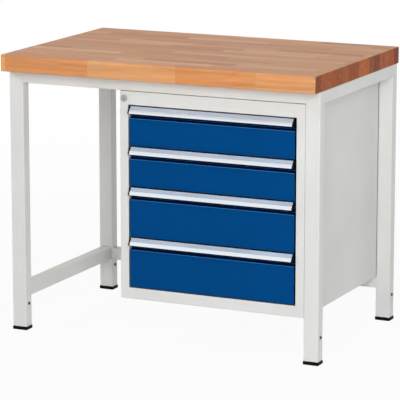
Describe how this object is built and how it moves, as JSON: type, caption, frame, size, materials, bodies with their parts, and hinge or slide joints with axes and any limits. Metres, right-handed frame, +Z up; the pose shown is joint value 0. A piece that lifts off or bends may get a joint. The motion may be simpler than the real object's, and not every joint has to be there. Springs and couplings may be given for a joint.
{
  "type": "height-adjustable workbench",
  "caption": "Workbench with a thick beech top on a grey tube frame with telescoping legs, and a lockable steel cabinet of blue drawers with full-width grip rails.",
  "frame": {"origin": "on the floor, under the middle of the worktop", "axes": "+X to the right along the worktop, +Y from the drawer fronts to the back, +Z up"},
  "size_m": [1, 0.65, 0.84],
  "materials": {
    "beech": "oiled solid beech",
    "grey_paint": "satin powder coat",
    "blue_paint": "satin powder coat",
    "aluminium": "satin anodised",
    "label_plastic": "matte",
    "black_plastic": "matte",
    "zinc_steel": "bright zinc plate",
    "black_steel": "black oxide",
    "lock_chrome": "nickel plate"
  },
  "bodies": {
    "front_left_base": {"front_left_inner_leg": "zinc_steel", "front_left_foot": "black_plastic"},
    "frame": {"worktop": "beech", "worktop_screws": "zinc_steel", "front_top_rail": "grey_paint", "rear_top_rail": "grey_paint", "left_top_rail": "grey_paint", "right_top_rail": "grey_paint", "left_lower_rail": "grey_paint", "rear_lower_rail": "grey_paint", "leg_clamp_screws": "black_steel", "cabinet_left_wall": "grey_paint", "cabinet_right_wall": "grey_paint", "cabinet_base": "grey_paint", "cabinet_top": "grey_paint", "cabinet_back": "grey_paint", "cabinet_bolts": "zinc_steel", "cabinet_runners": "zinc_steel", "lock_housing": "lock_chrome", "front_left_leg": "grey_paint", "front_right_leg": "grey_paint", "rear_left_leg": "grey_paint", "rear_right_leg": "grey_paint"},
    "front_right_base": {"front_right_inner_leg": "zinc_steel", "front_right_foot": "black_plastic"},
    "rear_left_base": {"rear_left_inner_leg": "zinc_steel", "rear_left_foot": "black_plastic"},
    "rear_right_base": {"rear_right_inner_leg": "zinc_steel", "rear_right_foot": "black_plastic"},
    "drawer_1": {"drawer_1_tray": "grey_paint", "drawer_1_front": "blue_paint", "drawer_1_grip": "aluminium", "drawer_1_grip_caps": "black_plastic", "drawer_1_label_strip": "label_plastic", "drawer_1_slides": "zinc_steel"},
    "drawer_1_middle": {"drawer_1_middle_slides": "zinc_steel"},
    "drawer_2": {"drawer_2_tray": "grey_paint", "drawer_2_front": "blue_paint", "drawer_2_grip": "aluminium", "drawer_2_grip_caps": "black_plastic", "drawer_2_label_strip": "label_plastic", "drawer_2_slides": "zinc_steel"},
    "drawer_2_middle": {"drawer_2_middle_slides": "zinc_steel"},
    "drawer_3": {"drawer_3_tray": "grey_paint", "drawer_3_front": "blue_paint", "drawer_3_grip": "aluminium", "drawer_3_grip_caps": "black_plastic", "drawer_3_label_strip": "label_plastic", "drawer_3_slides": "zinc_steel"},
    "drawer_3_middle": {"drawer_3_middle_slides": "zinc_steel"},
    "drawer_4": {"drawer_4_tray": "grey_paint", "drawer_4_front": "blue_paint", "drawer_4_grip": "aluminium", "drawer_4_grip_caps": "black_plastic", "drawer_4_label_strip": "label_plastic", "drawer_4_slides": "zinc_steel"},
    "drawer_4_middle": {"drawer_4_middle_slides": "zinc_steel"},
    "lock_core": {"lock_plug": "lock_chrome", "lock_cam": "zinc_steel"},
    "lock_rod": {"lock_bar": "zinc_steel"}
  },
  "joints": [
    {"name": "height_adjust", "type": "slide", "parent": "front_left_base", "child": "frame", "axis": [0, 0, 1], "range_m": [0, 0.2]},
    {"name": "front_right_telescope", "type": "slide", "parent": "frame", "child": "front_right_base", "axis": [0, 0, -1], "range_m": [0, 0.2]},
    {"name": "rear_left_telescope", "type": "slide", "parent": "frame", "child": "rear_left_base", "axis": [0, 0, -1], "range_m": [0, 0.2]},
    {"name": "rear_right_telescope", "type": "slide", "parent": "frame", "child": "rear_right_base", "axis": [0, 0, -1], "range_m": [0, 0.2]},
    {"name": "drawer_1_slide", "type": "slide", "parent": "frame", "child": "drawer_1", "axis": [0, -1, 0], "range_m": [0, 0.5]},
    {"name": "drawer_1_middle_slide", "type": "slide", "parent": "frame", "child": "drawer_1_middle", "axis": [0, -1, 0], "range_m": [0, 0.25]},
    {"name": "drawer_2_slide", "type": "slide", "parent": "frame", "child": "drawer_2", "axis": [0, -1, 0], "range_m": [0, 0.5]},
    {"name": "drawer_2_middle_slide", "type": "slide", "parent": "frame", "child": "drawer_2_middle", "axis": [0, -1, 0], "range_m": [0, 0.25]},
    {"name": "drawer_3_slide", "type": "slide", "parent": "frame", "child": "drawer_3", "axis": [0, -1, 0], "range_m": [0, 0.5]},
    {"name": "drawer_3_middle_slide", "type": "slide", "parent": "frame", "child": "drawer_3_middle", "axis": [0, -1, 0], "range_m": [0, 0.25]},
    {"name": "drawer_4_slide", "type": "slide", "parent": "frame", "child": "drawer_4", "axis": [0, -1, 0], "range_m": [0, 0.5]},
    {"name": "drawer_4_middle_slide", "type": "slide", "parent": "frame", "child": "drawer_4_middle", "axis": [0, -1, 0], "range_m": [0, 0.25]},
    {"name": "lock_turn", "type": "hinge", "parent": "frame", "child": "lock_core", "pos_m": [-0.11775, -0.28, 0.73], "axis": [0, -1, 0], "range_deg": [0, 90]},
    {"name": "lock_lift", "type": "slide", "parent": "frame", "child": "lock_rod", "axis": [0, 0, 1], "range_m": [0, 0.01]}
  ],
  "couplings": [
    {"joint": "front_right_telescope", "follows": "height_adjust", "ratio": 1},
    {"joint": "rear_left_telescope", "follows": "height_adjust", "ratio": 1},
    {"joint": "rear_right_telescope", "follows": "height_adjust", "ratio": 1},
    {"joint": "drawer_1_middle_slide", "follows": "drawer_1_slide", "ratio": 0.5},
    {"joint": "drawer_2_middle_slide", "follows": "drawer_2_slide", "ratio": 0.5},
    {"joint": "drawer_3_middle_slide", "follows": "drawer_3_slide", "ratio": 0.5},
    {"joint": "drawer_4_middle_slide", "follows": "drawer_4_slide", "ratio": 0.5},
    {"joint": "lock_turn", "follows": "lock_lift", "rad_per_m": 157.08}
  ]
}
